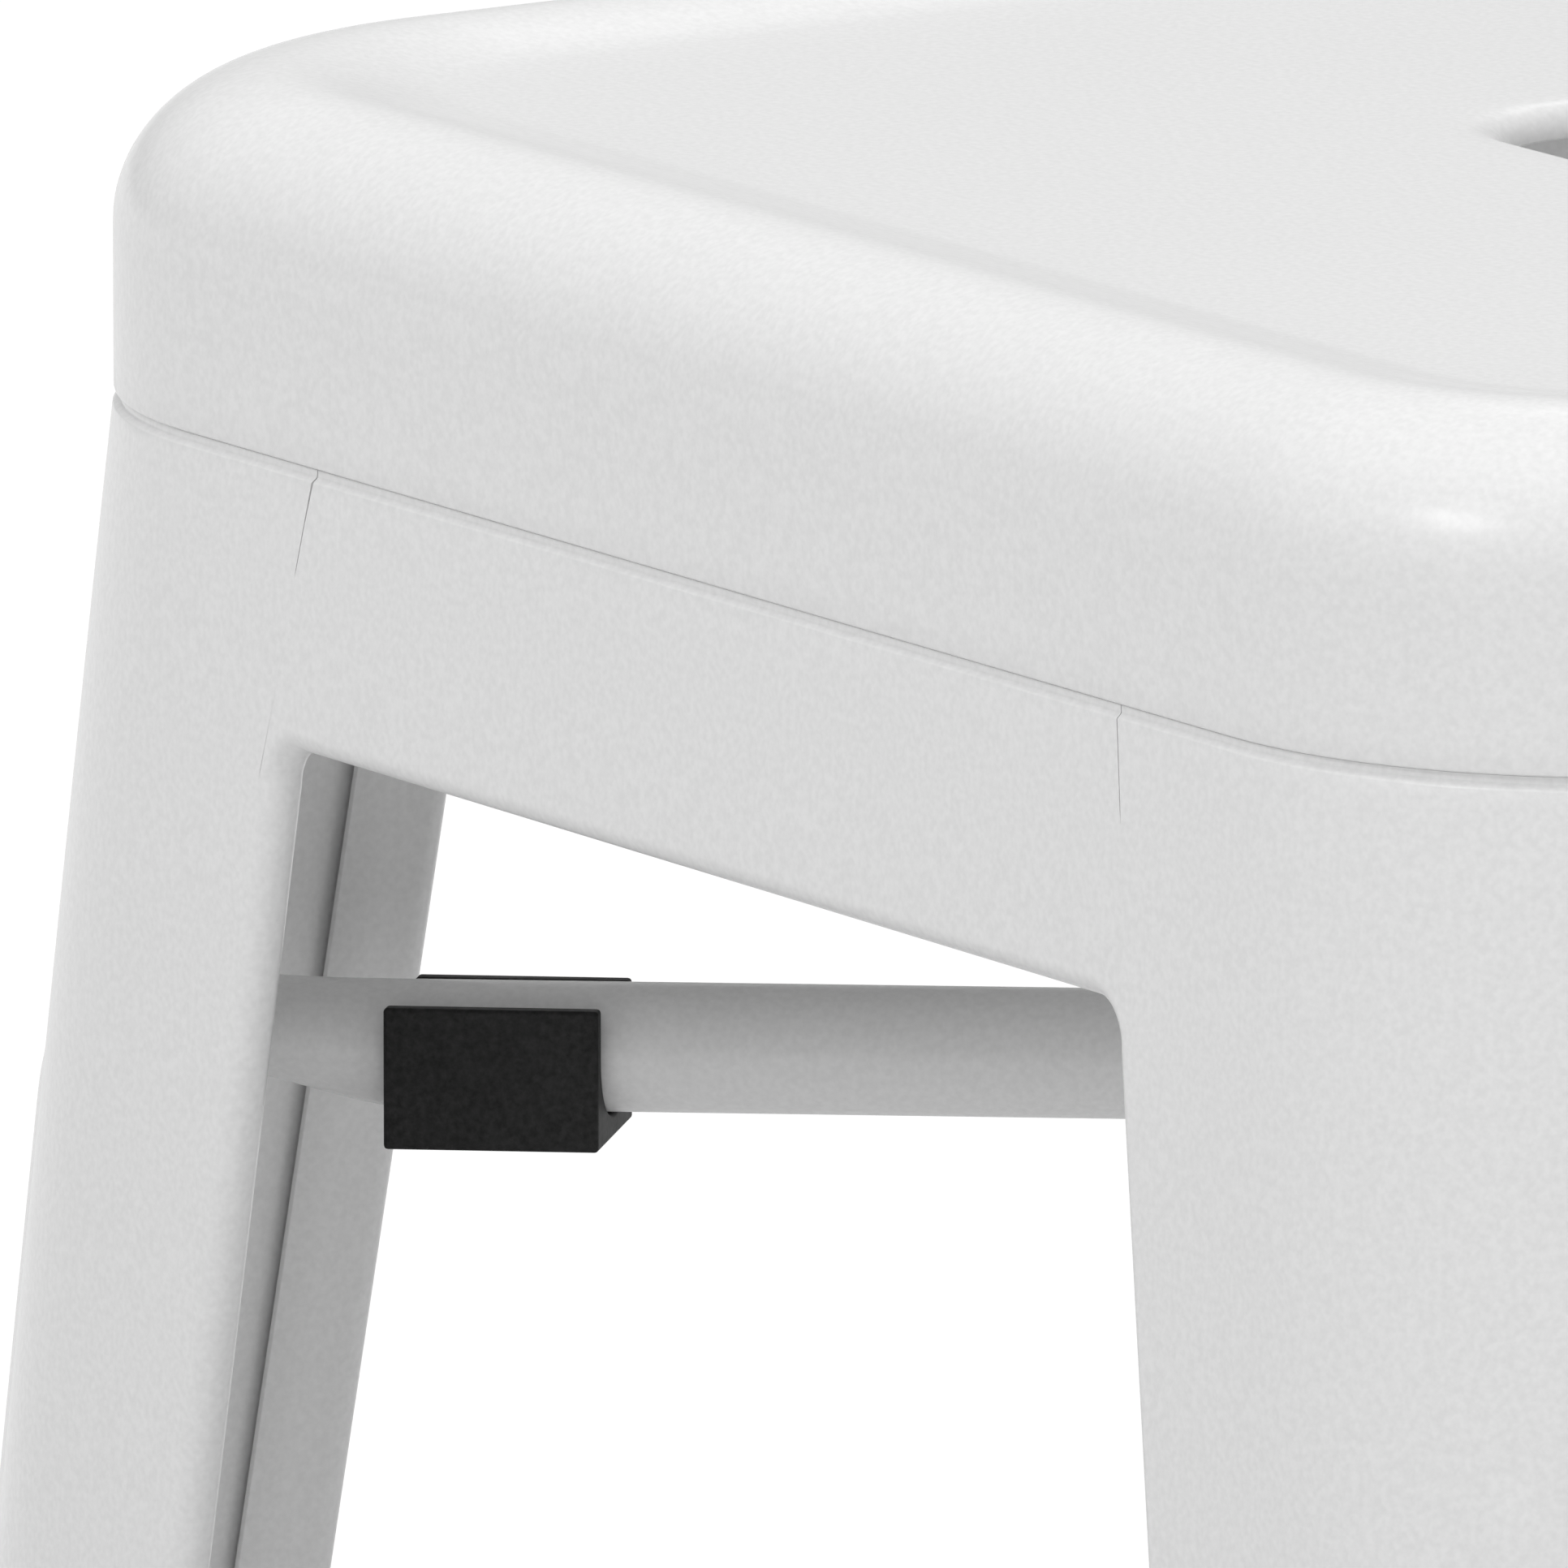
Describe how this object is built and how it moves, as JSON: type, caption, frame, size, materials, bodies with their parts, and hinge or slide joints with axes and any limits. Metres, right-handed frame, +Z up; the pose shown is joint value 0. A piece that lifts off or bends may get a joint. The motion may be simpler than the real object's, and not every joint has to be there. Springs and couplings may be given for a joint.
{
  "type": "stacking stool",
  "caption": "Low backless stacking stool of pressed white sheet steel: square dished seat with a hand hole, splayed folded legs, crossed tube braces.",
  "frame": {"origin": "on the floor, under the centre of the seat", "axes": "+Z up through the seat's centre, -Y towards the front side, +X towards the right side"},
  "size_m": [0.345, 0.345, 0.45],
  "materials": {
    "powder_coat": "semi-gloss white powder coat on pressed steel",
    "pad_plastic": "matte black moulded plastic",
    "foot_rubber": "matte black moulded rubber"
  },
  "bodies": {
    "root": {"seat_pan": "powder_coat", "leg_front_left": "powder_coat", "leg_front_right": "powder_coat", "leg_rear_right": "powder_coat", "leg_rear_left": "powder_coat", "apron_front": "powder_coat", "apron_right": "powder_coat", "apron_rear": "powder_coat", "apron_left": "powder_coat", "brace_upper": "powder_coat", "brace_lower": "powder_coat", "stack_pad_front_left": "pad_plastic", "stack_pad_front_right": "pad_plastic", "stack_pad_rear_right": "pad_plastic", "stack_pad_rear_left": "pad_plastic", "foot_front_left": "foot_rubber", "foot_front_right": "foot_rubber", "foot_rear_right": "foot_rubber", "foot_rear_left": "foot_rubber"}
  },
  "joints": []
}
